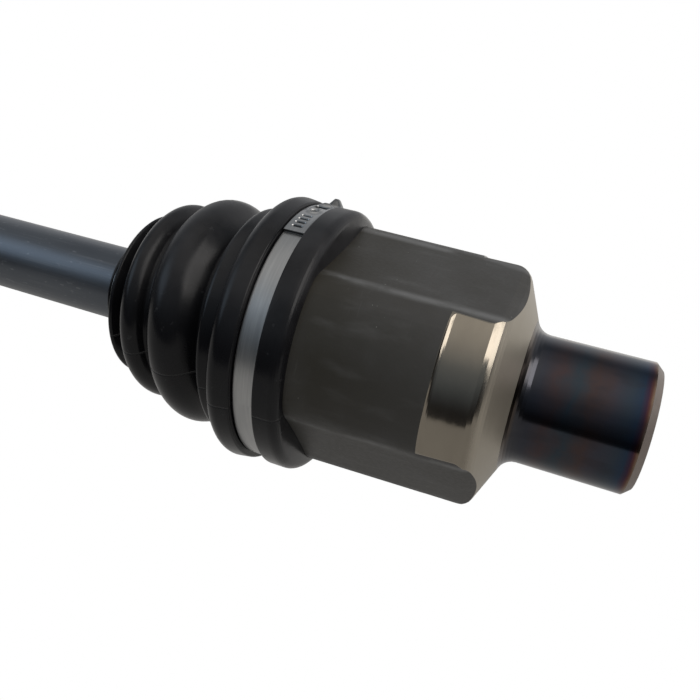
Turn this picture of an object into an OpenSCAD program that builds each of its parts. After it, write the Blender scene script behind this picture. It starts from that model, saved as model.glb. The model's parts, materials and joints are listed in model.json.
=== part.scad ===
// Drive shaft: a sliding tripod joint inboard, a solid bar, and a fixed six-ball joint outboard.
// X runs along the shaft. The end face of the inboard stub is at x = 0 and the shaft runs towards -X.
// Lobes, tracks and trunnions are 120 degrees apart, and angles run from +Y towards +Z.

/* [Shaft] */
// Distance from the stub's end face to the tripod joint's centre
inboard_centre = 80; // [76:0.5:83]
// Distance between the centres of the two joints
joint_span = 380; // [330:5:600]
// Radius of the bar
bar_r = 13.1; // [12.6:0.05:13.6]
// Radius over the tips of the bar's splines
bar_spline_r = 12.9; // [12.4:0.05:13.1]
// Height of the bar's spline teeth
bar_spline_h = 0.85; // [0.6:0.05:1]
// Teeth on each end of the bar
bar_teeth = 26; // [20:1:30]
// Radius of the bar's neck beside the ball joint
bar_neck_r = 12; // [11.6:0.1:12]
// Length of the bar's neck beside the ball joint
bar_neck_l = 20; // [16:1:24]
// Thickness of each retaining ring on the bar
ring_t = 1.2; // [1:0.1:1.5]
// Depth of each retaining ring's groove
ring_groove = 1; // [0.7:0.1:1.3]
// Height that each retaining ring stands above the splines
ring_proud = 1.8; // [1.2:0.1:2.2]

/* [Inboard housing] */
// Radius of the stub that the seal runs on
stub_r = 20; // [19.5:0.1:21.5]
// Length of the stub up to its blend into the end cone
stub_l = 36; // [35:0.2:37.6]
// Chamfer on the stub's end
stub_chamfer = 2; // [1:0.1:2.5]
// Fillet between the stub and the end cone
neck_fillet = 5; // [3:0.1:6]
// Lean of the turned end cone, in degrees from square
cone_lean = 23.5; // [20:0.5:27]
// Depth that the lobes are turned down beside the end cone
pad_depth = 0.9; // [0.5:0.1:1.2]
// Length of the turned pads along the shaft
pad_l = 14.6; // [11:0.2:17]
// Round at the outer corner of the end cone
cone_corner = 6; // [4:0.1:7]
// Round left by the turning tool at the pads' inner end
tool_round = 2; // [1.5:0.1:2.5]
// Wall outside the tracks' relief, under the lobes
lobe_wall = 3.1; // [2.8:0.1:4]
// Wall between the tracks and the three flats
flat_wall = 4.9; // [4.6:0.1:5.6]
// Round along the creases between lobes and flats
crease_round = 12; // [8:0.5:14]
// Draft of the forged lobes and flats, in degrees
forge_draft = 1.1; // [0.6:0.1:1.4]
// Slope of the flats' forged run-out, in degrees
runout_slope = 38; // [28:1:42]
// Length from the stub's end face to the start of the forged run-out
runout_x = 43.5; // [42.5:0.5:46]
// Blend between each flat and its run-out
runout_round = 12; // [6:1:14]
// Length from the stub's end face to the open mouth
mouth_x = 118.4; // [116:0.2:121]
// Length from the stub's end face to the floor of the tracks
floor_x = 50; // [49.5:0.1:50.8]
// Depth that the boot's seat is turned below the lobes
seat_step = 1.5; // [1:0.1:1.5]
// Length of the turned boot seat
seat_l = 15.4; // [14:0.2:17]
// Radius of the cavity between the tracks
core_r = 21; // [20:0.2:22.5]

/* [Stub bore] */
// Radius of the plain pilot at the bore's mouth
pilot_r = 15.5; // [15.2:0.1:16.5]
// Length of the plain pilot
pilot_l = 6; // [4:0.5:8]
// Radius inside the tips of the female splines
stub_spline_r = 13.4; // [13:0.1:13.8]
// Height of the female spline teeth
stub_spline_h = 1.2; // [0.8:0.1:1.4]
// Teeth in the stub's bore
stub_teeth = 28; // [22:1:32]
// Length of the female splines
stub_spline_l = 26; // [20:0.5:28]
// Radius of the plug that closes the bore
plug_r = 16; // [15.2:0.1:17]
// Length of the plug
plug_l = 6; // [5:0.5:7]
// Wall of the plug
plug_t = 1.5; // [1:0.1:2]

/* [Tripod] */
// Radius from the shaft's axis to the middle of each roller
pitch_r = 24; // [23.6:0.1:25.5]
// Radius of the rollers' round outside
roller_r = 17; // [16.6:0.1:17.4]
// Width of each roller
roller_w = 12; // [11.4:0.1:12.6]
// Radius of each trunnion
trunnion_r = 9; // [8:0.1:9.4]
// Radius of a needle
needle_r = 1.25; // [1:0.05:1.35]
// Length of a needle
needle_l = 11.2; // [9:0.1:11.4]
// Width of the spider's hub
hub_w = 22; // [20:0.5:23]
// Gap between the spider's hub and the rollers
hub_gap = 0.6; // [0.3:0.1:1]
// Width of the needles' retaining washer, from the trunnion outwards
washer_w = 3.2; // [2.9:0.1:3.6]
// Thickness of the needles' retaining washer
washer_t = 0.8; // [0.6:0.1:1]
// Thickness of the clip that holds each washer
clip_t = 1.1; // [0.9:0.1:1.3]
// Width of the clip, from the floor of its groove outwards
clip_w = 2; // [1.6:0.1:2.4]
// Depth of the clip's groove in the trunnion
clip_groove = 0.8; // [0.5:0.1:1]

/* [Inboard boot and clamps] */
// Thickness of the insert where it covers the lobes
insert_t = 1.35; // [1.1:0.05:1.6]
// Height of the insert's lip above the boot's clamp groove
lip_h = 2.65; // [2:0.05:3.2]
// Width of the insert's lip
lip_w = 7.8; // [6.5:0.1:9]
// Round on the insert's lip
lip_round = 3; // [2:0.1:3.4]
// Thickness of the boot's collar under the clamp
collar_t = 1.55; // [1.3:0.05:1.9]
// Width of the clamp groove
groove_w = 7.3; // [7.2:0.1:8]
// Height of the boot's shoulder above the clamp groove
shoulder_h = 2.9; // [2:0.1:3.4]
// Width of the boot's shoulder beyond the clamp groove
shoulder_w = 8; // [7:0.1:9]
// Wall of the boots' folds
boot_wall = 2; // [1.6:0.1:2.1]
// Radius of the large fold's crest line before rounding
fold_big_r = 44.5; // [43:0.1:46]
// Radius of the small fold's crest line before rounding
fold_small_r = 40.5; // [39.5:0.1:42]
// Radius of the valley between the shoulder and the large fold
valley_big_r = 30; // [29:0.1:31]
// Radius of the valley between the two folds
valley_small_r = 28; // [27:0.1:29]
// Length of the inboard boot from the step after its shoulder to its small end
boot_l = 53.7; // [52.5:0.1:55]
// Distance from that step to the first valley
valley_big_l = 8.9; // [8:0.1:9.6]
// Distance from that step to the large fold's crest
fold_big_l = 20.2; // [19.4:0.1:21]
// Distance from that step to the second valley
valley_small_l = 31.2; // [30.6:0.1:31.8]
// Distance from that step to the small fold's crest
fold_small_l = 36.9; // [36.2:0.1:37.6]
// Radius of the rib on the last fold
rib_r = 29.2; // [28.4:0.1:30]
// Radius of the small collars that grip the bar
small_collar_r = 17.6; // [17.2:0.1:18.4]
// Width of the small collars
small_collar_w = 8.4; // [8.2:0.1:10]
// Width of the large clamp bands
band_w = 6.9; // [6.5:0.1:7]
// Thickness of the large clamp bands
band_t = 1; // [0.8:0.1:1.2]
// Width of the small clamp bands
small_band_w = 6; // [5.5:0.1:6.2]
// Thickness of the small clamp bands
small_band_t = 0.8; // [0.6:0.1:0.9]
// Height of a clamp's closed ear or hook above its band
ear_h = 3.6; // [2:0.1:3.8]

/* [Ball joint] */
// Radius of a ball
ball_r = 7.94; // [7.8:0.02:8.1]
// Radius from the joint's centre to the middle of the balls
ball_pitch_r = 27; // [26.8:0.1:27.4]
// Radius of the inner race's round outside
race_r = 23.8; // [23.6:0.1:24]
// Width of the inner race
race_w = 23; // [20:0.5:24]
// Radius of the cage's round outside
cage_r = 30.3; // [30:0.1:30.8]
// Width of the cage
cage_w = 27; // [25:0.5:28]
// Extra length of each cage window, for the balls' side travel
window_extra = 3.4; // [2.6:0.2:4]
// Step from the outboard boot's seat up to the bell
bell_step = 2.5; // [1.8:0.1:4]
// Length of the bell from the joint's centre to its mouth
bell_mouth = 13; // [12:0.2:13.4]
// Length of the bell from the joint's centre to its shoulder
bell_depth = 41; // [40:0.5:46]
// Largest angle between the bar and the bell, in degrees
tilt_limit = 40; // [40:1:43]
// Radius of the shoulder that the wheel bearing sits against
shoulder_r = 31.5; // [28:0.5:34]
// Wall of the bell outside the ball grooves, at the seat for the outboard boot
bell_wall = 4.86; // [4.4:0.02:5.4]
// Length of the seat for the outboard boot
bell_seat_l = 14; // [13.5:0.1:15]

/* [Outboard stub] */
// Radius of the plain journal
journal_r = 17.5; // [16:0.1:19]
// Length of the plain journal
journal_l = 8; // [6:0.5:12]
// Radius over the tips of the outboard splines
hub_spline_r = 13.6; // [13:0.1:15]
// Height of the outboard spline teeth
hub_spline_h = 0.9; // [0.6:0.1:1.2]
// Teeth on the outboard stub
hub_teeth = 26; // [20:1:32]
// Length of the outboard splines
hub_spline_l = 38; // [30:1:50]
// Radius of the threaded end at the root of the thread
thread_r = 10.2; // [9:0.1:11]
// Length of the threaded end
thread_l = 22; // [16:1:30]

/* [Outboard boot] */
// Length of the folded part of the boot
folds_l = 62; // [56:1:70]
// Number of folds
folds = 5; // [4:1:6]
// Radius of the smallest fold's crest line
fold_first_r = 28; // [26:0.5:30]
// Radius of the largest fold's crest line
fold_last_r = 43; // [41:0.5:45]
// Radial depth of each fold between its crest line and its valley line
fold_depth = 10.5; // [9:0.5:11]

/* [Hidden] */

// Running, sliding and seating clearances
track_gap = 0.06;
needle_gap = 0.02;
seat_gap = 0.05;
face_gap = 0.1;
cage_gap = 0.2;
ball_gap = 0.2;
boot_gap = 0.1;
mouth_gap = 0.2;
band_gap = 0.15;
chamfer = 1;
bell_chamfer = 1.5;
mouth_cone = 2.4;
// Turn left over at the end of each ball groove, in degrees
groove_spare = 2;
// Step from the root of a spline's teeth down to the plain core inside them, and the cone beside it
run_in_step = 0.5;
run_in_l = 1.2;
// Retaining rings on the bar: the land beyond each groove, its depth below the spline roots, the open gap
ring_land = 1.3;
ring_seat = 0.3;
ring_mouth = 5;
// Width of the softened strip beside each crease, in degrees
crease_lead = 8;
// Longest turn between two points on a round of an outline, in degrees
arc_step = 15;
big = 60;
$fn = 48;

lobe_angles = [30, 150, 270];
flat_angles = [90, 210, 330];
ball_angles = [0, 60, 120, 180, 240, 300];
outboard_x = -inboard_centre - joint_span;

// Tracks and outer section of the inboard housing
track_r = roller_r + track_gap;
track_half = roller_w / 2 + 0.5;
track_side = sqrt(track_r * track_r - track_half * track_half);
washer_r = trunnion_r + washer_w;
washer_in = pitch_r + roller_w / 2 + face_gap;
clip_in = washer_in + washer_t + face_gap;
trunnion_tip = clip_in + clip_t + 1;
relief_out = trunnion_tip + 0.6;
relief_half = washer_r + 0.8;
lobe_r = norm([relief_out, relief_half]) + lobe_wall;
flat_r = (pitch_r + track_half) * cos(60) + track_side * sin(60) + flat_wall;
pad_r = lobe_r - pad_depth;
cone_x = -stub_l - (pad_r - stub_r) * tan(cone_lean);
pad_x = cone_x - pad_l;
lobe_edge = acos(flat_r / lobe_r) + crease_lead;
seat_r = lobe_r - seat_step;
seat_x = -mouth_x + seat_l;

// Insert, collar and clamp radii, each from the one that it sits on
groove_setback = 3.3;
lip_fall = 1.3;
insert_r = seat_r + seat_gap + insert_t;
groove_r = insert_r + seat_gap + collar_t;
groove_x = seat_x - groove_setback;
lip_r = groove_r + lip_h;
shoulder_x = groove_x - groove_w;
band_r = groove_r + seat_gap + band_t;

// Folds of the inboard boot, each placed from the step at the end of its shoulder
step_x = shoulder_x - shoulder_w;
neck_x = step_x - 6.5;
valley_a_x = step_x - valley_big_l;
crest_a_x = step_x - fold_big_l;
valley_b_x = step_x - valley_small_l;
crest_b_x = step_x - fold_small_l;
small_end_x = step_x - boot_l;
small_start_x = small_end_x + small_collar_w;
neck_depth = 2.4;
shoulder_rise = 1.2;
rib_w = 2.7;

// Small collars: a groove for the clamp with a low flange at its free end
collar_ramp = 1.2;
collar_flange = 0.9;
small_groove_r = small_collar_r - small_band_t - seat_gap;
small_band_r = small_collar_r;

// Closed ends of the clamps
hook_w = 4.8;
hook_angle = 58;
lap_from = 52;
lap_to = 103;
ear_foot = 2.6;
ear_top = 2.2;

// Ball joint
groove_ball_r = ball_r + ball_gap;
cage_in_r = race_r + cage_gap;
bell_sphere_r = cage_r + cage_gap;
groove_back = tilt_limit / 2 + asin(groove_ball_r / ball_pitch_r) + groove_spare;
bell_seat_r = ball_pitch_r + groove_ball_r + bell_wall;
bell_r = bell_seat_r + bell_step;
groove_front = 52;
outboard_groove_r = bell_seat_r + seat_gap + collar_t;
outboard_band_r = outboard_groove_r + seat_gap + band_t;
bell_mouth_x = outboard_x + bell_mouth;
shoulder_face_x = outboard_x - bell_depth;

// Fillet of radius f at b, as points of its arc
function unit(v) = v / norm(v);
function fillet_arc(a, b, c, f, step = arc_step) = f <= 0 ? [b] :
    let (u = unit(a - b), w = unit(c - b), half = acos(u * w) / 2)
    let (centre = b + unit(u + w) * f / sin(half))
    let (p = b + u * f / tan(half) - centre, q = b + w * f / tan(half) - centre)
    let (start = atan2(p[1], p[0]), turn = (atan2(q[1], q[0]) - start + 540) % 360 - 180)
    let (steps = max(2, ceil(abs(turn) / step)))
    [for (i = [0 : steps]) centre + f * [cos(start + turn * i / steps), sin(start + turn * i / steps)]];

// Outline through corners [x, r, fillet], with each inner corner rounded
function xr(p) = [p[0], p[1]];
function rounded(c) = concat([xr(c[0])],
    [for (i = [1 : len(c) - 2]) each fillet_arc(xr(c[i - 1]), xr(c[i]), xr(c[i + 1]), c[i][2])],
    [xr(c[len(c) - 1])]);

// Corners moved inwards by the wall w, for an outline that runs towards -X
function side(a, b) = let (d = unit(b - a)) [-d[1], d[0]];
function inset(c, w) = [for (i = [1 : len(c) - 2])
    let (a = xr(c[i - 1]), b = xr(c[i]), d = xr(c[i + 1]))
    let (m = side(a, b), n = side(b, d), out = (b - a)[0] * (d - b)[1] - (b - a)[1] * (d - b)[0] > 0)
    let (p = b + w * (m + n) / (1 + m * n))
    [p[0], p[1], out ? max(0.3, c[i][2] - w) : c[i][2] + w]];

// Solid of revolution about the shaft's axis, from an outline of [x, r] points
module turned(outline) {
    rotate([90, 0, 90]) rotate_extrude() polygon([for (p = outline) [p[1], p[0]]]);
}

// Section drawn in the YZ plane and drawn out from x0 to x1
module drawn(x0, x1) {
    translate([x0, 0, 0]) rotate([90, 0, 90]) linear_extrude(x1 - x0) children();
}

// Round bar or hole along the shaft
module round_bar(x0, x1, r) {
    translate([x0, 0, 0]) rotate([0, 90, 0]) cylinder(h = x1 - x0, r = r);
}

// Flat ring along the shaft
module flat_ring(x0, x1, r_in, r_out) {
    turned([[x0, r_in], [x0, r_out], [x1, r_out], [x1, r_in]]);
}

// Places a piece drawn about +Z on each radial direction
module on_radius(angle) {
    rotate([angle, 0, 0]) rotate([-90, 0, 0]) children();
}

// Section of splines: trapezoid teeth between a root and a tip radius
module spline_section(teeth, r_root, r_tip) {
    pitch = 360 / teeth;
    polygon([for (i = [0 : teeth - 1], s = [[-0.32, r_root], [-0.16, r_tip], [0.16, r_tip], [0.32, r_root]])
        s[1] * [cos(pitch * (i + s[0])), sin(pitch * (i + s[0]))]]);
}

// Radius of the lobes at x, which grows by their draft towards the mouth
function lobe_at(x) = lobe_r + (pad_x - x) * tan(forge_draft) * cos(lobe_edge);

// Cutter for the three flats between the lobes, tilted by their draft, with a round along each crease
module flats_cutter(x0, x1, lobe, flat, crease) {
    half = acos(flat / lobe);
    edge = half + crease_lead;
    low = (lobe + 0.02) * [cos(edge), -sin(edge)];
    high = (lobe + 0.02) * [cos(edge), sin(edge)];
    foot = lobe * sin(half);
    path = concat([low], fillet_arc(low, [flat, -foot], [flat, foot], crease, 4),
        fillet_arc([flat, -foot], [flat, foot], high, crease, 4), [high]);
    for (n = flat_angles) rotate([n, 0, 0]) translate([pad_x, 0, 0]) rotate([0, 0, -forge_draft])
        drawn(x0 - pad_x, x1 - pad_x) polygon(concat([2 * low], path, [2 * high]));
}

// Section of the cavity: a core, three barrel tracks and the relief over each trunnion
module track_section() {
    circle(core_r);
    for (a = lobe_angles) rotate(a) {
        intersection() {
            translate([pitch_r, 0]) circle(track_r);
            translate([pitch_r - track_half, -track_r]) square([2 * track_half, 2 * track_r]);
        }
        translate([0, -relief_half]) square([relief_out, 2 * relief_half]);
    }
}

module housing_body() {
    pad_end = pad_x + tool_round;
    swing = acos(1 - pad_depth / tool_round);
    turned(concat([[0, 0], [0, stub_r - stub_chamfer]],
        rounded([[-stub_chamfer * 1.1, stub_r], [-stub_l, stub_r, neck_fillet], [cone_x, pad_r, cone_corner],
            [pad_end, pad_r]]),
        [for (i = [1 : 4]) [pad_end - tool_round * sin(swing * i / 4),
            pad_r + tool_round * (1 - cos(swing * i / 4))]],
        [[seat_x, lobe_at(seat_x)], [seat_x, seat_r], [-mouth_x + chamfer, seat_r],
            [-mouth_x, seat_r - chamfer], [-mouth_x, 0]]));
}

// Cutter for one flat's run-out: it bends the end of the flat down to the end cone
module runout_cutter() {
    fall = 14;
    path = rounded([[-runout_x - 8, flat_r], [-runout_x, flat_r, runout_round],
        [-runout_x + fall, flat_r - fall * tan(runout_slope)]]);
    rotate([90, 0, 0]) linear_extrude(2 * big, center = true)
        polygon(concat(path, [[-runout_x + fall, big], [-runout_x - 8, big]]));
}

module inboard_housing() {
    color([0.24, 0.24, 0.21]) difference() {
        housing_body();
        flats_cutter(-mouth_x - 3, -stub_l, lobe_r, flat_r, crease_round);
        for (n = flat_angles) rotate([n - 90, 0, 0]) runout_cutter();
        drawn(-mouth_x - 1, -floor_x) track_section();
        round_bar(-pilot_l, 1, pilot_r);
        drawn(-pilot_l - stub_spline_l, -pilot_l + 0.5)
            spline_section(stub_teeth, stub_spline_r + stub_spline_h, stub_spline_r);
        round_bar(-floor_x - 1, -pilot_l - stub_spline_l, stub_spline_r + stub_spline_h + 0.4);
        round_bar(-floor_x - 1, -floor_x + plug_l, plug_r + seat_gap);
    }
}

module bore_plug() {
    open_x = -floor_x + 0.3;
    color([0.62, 0.6, 0.55]) turned(rounded([[open_x, plug_r - plug_t], [open_x, plug_r, 0],
        [-floor_x + plug_l, plug_r, plug_t], [-floor_x + plug_l, 0, 0], [-floor_x + plug_l - plug_t, 0, 0],
        [-floor_x + plug_l - plug_t, plug_r - plug_t, 0.3], [open_x, plug_r - plug_t]]));
}

module boot_insert() {
    lip_x = groove_x + lip_w;
    end_x = lip_x + lip_fall;
    color([0.07, 0.07, 0.08]) difference() {
        turned(rounded([[-mouth_x, 0], [-mouth_x, insert_r, 0], [groove_x, insert_r, 0],
            [groove_x, lip_r, 0.5], [lip_x, lip_r, lip_round], [end_x, flat_r - 1, 0], [end_x, 0]]));
        difference() {
            turned([[-mouth_x - 1, 0], [-mouth_x - 1, seat_r + seat_gap],
                [seat_x - seat_gap, seat_r + seat_gap], [seat_x - seat_gap, lobe_at(seat_x) + seat_gap],
                [end_x + 1, lobe_at(end_x + 1) + seat_gap], [end_x + 1, 0]]);
            flats_cutter(-mouth_x - 3, end_x + 3, lobe_r + seat_gap, flat_r + seat_gap, crease_round);
        }
    }
}

// Wall line of the inboard boot's folds, from the shoulder to the small collar
inboard_folds = [[-mouth_x, groove_r - neck_depth], [neck_x, groove_r - neck_depth, 1.5],
    [valley_a_x, valley_big_r, 1.5], [crest_a_x, fold_big_r, 7.7], [valley_b_x, valley_small_r, 1.5],
    [crest_b_x, fold_small_r, 4.5], [small_start_x, small_collar_r + 4, 0.5],
    [small_start_x, small_collar_r - 1]];

module inboard_boot() {
    n = len(inboard_folds);
    outer = rounded(concat([[groove_x, insert_r + seat_gap], [groove_x, groove_r, 0],
        [shoulder_x, groove_r, 0.3], [shoulder_x, groove_r + shoulder_h, 0.8],
        [step_x, groove_r + shoulder_h + shoulder_rise, 4], [step_x - 1, groove_r - neck_depth - 0.2, 0.6],
        [neck_x, groove_r - neck_depth + 0.8, 1.5]], [for (i = [2 : n - 3]) inboard_folds[i]],
        [[small_start_x + rib_w, rib_r - 1.4, 0.4], [small_start_x, rib_r, 0.9],
        [small_start_x, small_collar_r, 1.2], [small_start_x - collar_ramp, small_collar_r, 0],
        [small_start_x - collar_ramp, small_groove_r, 0.2],
        [small_end_x + collar_flange, small_groove_r, 0.2], [small_end_x + collar_flange, small_collar_r, 0.3],
        [small_end_x, small_collar_r, 0.4], [small_end_x, bar_r + boot_gap]]));
    inner = rounded(concat([[-mouth_x - mouth_gap, insert_r + seat_gap],
        [-mouth_x - mouth_gap, groove_r - neck_depth - boot_wall, 1]],
        inset(inboard_folds, boot_wall), [[small_start_x + boot_wall, bar_r + boot_gap]]));
    color([0.08, 0.08, 0.09]) turned(concat(outer, [for (i = [len(inner) - 1 : -1 : 0]) inner[i]]));
}

// Band of a clamp with its outer end lapped over it, hooked and ending in a raised hook
module clamp_band(x0, r_out, w, t, lap, from, to) {
    flat_ring(x0 - w, x0, r_out - t, r_out);
    translate([x0 - w, 0, 0]) rotate([90, 0, 90]) rotate(from) rotate_extrude(angle = to - from)
        translate([r_out - t / 2, 0]) square([lap + t / 2, w]);
}

module inboard_large_clamp() {
    x0 = groove_x - band_gap;
    color([0.5, 0.51, 0.52]) {
        clamp_band(x0, band_r, band_w, band_t, band_t, lap_from, lap_to);
        on_radius(hook_angle) translate([0, 0, band_r]) hook(x0);
    }
}

// Raised hook that locks a lapped band
module hook(x0) {
    translate([x0 - band_w * 0.8, -hook_w / 2, band_t / 2]) cube([band_w * 0.6, hook_w, ear_h - band_t / 2]);
}

// Closed ear of a small clamp
module ear_clamp(x0, r_out, w, t, angle) {
    flat_ring(x0 - w, x0, r_out - t, r_out);
    on_radius(angle) translate([x0 - w, 0, r_out - 0.3]) rotate([90, 0, 90]) linear_extrude(w)
        polygon([[-ear_foot, 0], [-ear_top, ear_h + 0.3], [ear_top, ear_h + 0.3], [ear_foot, 0]]);
}

module inboard_small_clamp() {
    color([0.5, 0.51, 0.52])
        ear_clamp(small_start_x - collar_ramp - band_gap, small_band_r + seat_gap, small_band_w, small_band_t,
            330);
}

module shaft_bar() {
    tip_in = -inboard_centre + hub_w / 2 + ring_t + ring_land;
    tip_out = outboard_x - race_w / 2 - ring_t - ring_land;
    run_in = -inboard_centre - hub_w / 2 - ring_t - ring_land;
    run_out = outboard_x + race_w / 2 + 0.6;
    root = bar_spline_r - bar_spline_h;
    floor_r = bar_spline_r - ring_groove - ring_seat;
    groove = ring_t + 2 * seat_gap;
    color([0.2, 0.23, 0.28]) difference() {
        union() {
            turned([[run_in, 0], [run_in, root - run_in_step], [run_in - run_in_l, bar_r],
                [run_out + bar_neck_l + 3, bar_r], [run_out + bar_neck_l, bar_neck_r],
                [run_out + run_in_l, bar_neck_r], [run_out, root - run_in_step], [run_out, 0]]);
            intersection() {
                union() {
                    drawn(run_in - run_in_l + 0.05, tip_in) spline_section(bar_teeth, root, bar_spline_r);
                    drawn(tip_out, run_out + 1) spline_section(bar_teeth, root, bar_spline_r);
                }
                turned([[tip_in, 0], [tip_in, root - 0.6], [tip_in - 2, bar_spline_r + 1],
                    [tip_out + 2, bar_spline_r + 1], [tip_out, root - 0.6], [tip_out, 0]]);
            }
        }
        for (x = [-inboard_centre + hub_w / 2 + face_gap, -inboard_centre - hub_w / 2 - face_gap - groove,
            outboard_x - race_w / 2 - face_gap - groove])
            flat_ring(x, x + groove, floor_r, bar_r + 2);
    }
}

// Open retaining ring on the bar's splines
module bar_ring(x0) {
    floor_r = bar_spline_r - ring_groove - ring_seat;
    difference() {
        flat_ring(x0, x0 + ring_t, floor_r + seat_gap, bar_spline_r + ring_proud);
        translate([x0 - 1, -ring_mouth / 2, floor_r - 6]) cube([ring_t + 2, ring_mouth, bar_r]);
    }
}

module spider_end_ring() {
    color([0.35, 0.35, 0.36]) bar_ring(-inboard_centre + hub_w / 2 + face_gap + seat_gap);
}

module spider_stop_ring() {
    color([0.35, 0.35, 0.36]) bar_ring(-inboard_centre - hub_w / 2 - face_gap - ring_t - seat_gap);
}

module race_ring() {
    color([0.35, 0.35, 0.36]) bar_ring(outboard_x - race_w / 2 - face_gap - ring_t - seat_gap);
}

module tripod_spider() {
    hub_r = pitch_r - roller_w / 2 - hub_gap;
    root_r = min(trunnion_r + 1.6, hub_w / 2 - 0.4);
    groove = clip_in - 0.05;
    color([0.55, 0.55, 0.56]) translate([-inboard_centre, 0, 0]) difference() {
        union() {
            turned(rounded([[-hub_w / 2, 0], [-hub_w / 2, hub_r, 2], [hub_w / 2, hub_r, 2], [hub_w / 2, 0]]));
            for (a = lobe_angles) on_radius(a) rotate_extrude() polygon([[0, 0], [root_r, 0],
                [root_r, pitch_r - roller_w / 2 - face_gap], [trunnion_r, pitch_r - roller_w / 2 - face_gap],
                [trunnion_r, groove], [trunnion_r - clip_groove, groove],
                [trunnion_r - clip_groove, groove + clip_t + 0.1], [trunnion_r, groove + clip_t + 0.1],
                [trunnion_r, trunnion_tip - 0.6], [trunnion_r - 0.6, trunnion_tip], [0, trunnion_tip]]);
        }
        drawn(-hub_w, hub_w)
            spline_section(bar_teeth, bar_spline_r - bar_spline_h + seat_gap, bar_spline_r + seat_gap);
    }
}

module roller(angle) {
    bore_r = trunnion_r + 2 * needle_r + 2 * needle_gap;
    color([0.68, 0.68, 0.7]) translate([-inboard_centre, 0, 0]) on_radius(angle) difference() {
        intersection() {
            translate([0, 0, pitch_r]) sphere(roller_r);
            translate([0, 0, pitch_r - roller_w / 2]) cylinder(h = roller_w, r = roller_r + 1);
        }
        cylinder(h = 2 * pitch_r, r = bore_r);
    }
}

module needles(angle) {
    circle_r = trunnion_r + needle_gap + needle_r;
    count = floor(180 / asin((needle_r + 0.01) / circle_r));
    color([0.75, 0.75, 0.77]) translate([-inboard_centre, 0, 0]) on_radius(angle)
        for (i = [0 : count - 1]) rotate(360 * i / count)
            translate([circle_r, 0, pitch_r - needle_l / 2]) cylinder(h = needle_l, r = needle_r, $fn = 24);
}

module roller_washers() {
    color([0.6, 0.6, 0.62]) translate([-inboard_centre, 0, 0]) for (a = lobe_angles) on_radius(a)
        translate([0, 0, washer_in]) difference() {
            cylinder(h = washer_t, r = washer_r);
            translate([0, 0, -1]) cylinder(h = washer_t + 2, r = trunnion_r + seat_gap);
        }
}

module roller_clips() {
    r_in = trunnion_r - clip_groove + seat_gap;
    color([0.3, 0.3, 0.31]) translate([-inboard_centre, 0, 0]) for (a = lobe_angles) on_radius(a)
        translate([0, 0, clip_in]) difference() {
            cylinder(h = clip_t, r = r_in + clip_w);
            translate([0, 0, -1]) cylinder(h = clip_t + 2, r = r_in);
            translate([0, -1.5, -1]) cube([trunnion_r + clip_w, 3, clip_t + 2]);
        }
}

// Ball grooves: a round cutter swept about the joint's centre in each ball's plane,
// from back degrees towards the stub to front degrees towards the bar
module ball_grooves(back, front) {
    for (a = ball_angles) rotate([-a, 0, 0]) rotate([90, 0, 0]) rotate(90 - front)
        rotate_extrude(angle = back + front) translate([ball_pitch_r, 0]) circle(groove_ball_r);
}

// Sphere with its poles on the shaft's axis
module ball_shape(r) {
    rotate([0, 90, 0]) sphere(r);
}

module inner_race() {
    color([0.66, 0.66, 0.68]) translate([outboard_x, 0, 0]) difference() {
        intersection() {
            ball_shape(race_r);
            round_bar(-race_w / 2, race_w / 2, race_r + 1);
        }
        ball_grooves(groove_back, groove_front);
        drawn(-race_w, race_w)
            spline_section(bar_teeth, bar_spline_r - bar_spline_h + seat_gap, bar_spline_r + seat_gap);
    }
}

module cage() {
    slot_r = ball_r + ball_gap;
    color([0.45, 0.45, 0.47]) translate([outboard_x, 0, 0]) difference() {
        intersection() {
            ball_shape(cage_r);
            round_bar(-cage_w / 2, cage_w / 2, cage_r + 1);
        }
        ball_shape(cage_in_r);
        for (a = ball_angles) rotate([-a, 0, 0]) linear_extrude(cage_r + 1)
            square([2 * slot_r, 2 * slot_r + window_extra], center = true);
    }
}

module ball(angle) {
    color([0.8, 0.8, 0.82]) translate([outboard_x, 0, 0]) rotate([-angle, 0, 0])
        translate([0, 0, ball_pitch_r]) sphere(ball_r);
}

module outboard_housing() {
    journal_x = shoulder_face_x - journal_l;
    thread_x = journal_x - hub_spline_l;
    tip_x = thread_x - thread_l;
    seat_end = bell_mouth_x - bell_seat_l;
    taper_x = outboard_x - 18;
    root = hub_spline_r - hub_spline_h;
    color([0.23, 0.24, 0.24]) difference() {
        union() {
            turned(concat([[bell_mouth_x, 0], [bell_mouth_x, bell_seat_r - bell_chamfer]],
                rounded([[bell_mouth_x - bell_chamfer, bell_seat_r], [seat_end, bell_seat_r, 0.6],
                    [seat_end - 1.2, bell_r, 1], [taper_x, bell_r, 10], [shoulder_face_x + 5, shoulder_r, 3],
                    [shoulder_face_x, shoulder_r]]),
                [[shoulder_face_x, journal_r], [journal_x + chamfer, journal_r],
                    [journal_x, journal_r - chamfer], [journal_x, root - run_in_step],
                    [thread_x, root - run_in_step], [thread_x, thread_r],
                    [tip_x + bell_chamfer, thread_r], [tip_x, thread_r - bell_chamfer], [tip_x, 0]]));
            intersection() {
                drawn(thread_x, journal_x + 1) spline_section(hub_teeth, root, hub_spline_r);
                turned([[journal_x + 1, 0], [journal_x + 1, hub_spline_r + 1],
                    [thread_x + 2, hub_spline_r + 1], [thread_x, root - 0.2], [thread_x, 0]]);
            }
        }
        translate([outboard_x, 0, 0]) {
            ball_shape(bell_sphere_r);
            ball_grooves(groove_back, groove_front);
            turned([[bell_mouth - mouth_cone, 0], [bell_mouth - mouth_cone, bell_sphere_r - mouth_cone - 1],
                [bell_mouth + 1, bell_sphere_r], [bell_mouth + 1, 0]]);
        }
    }
}

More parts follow.
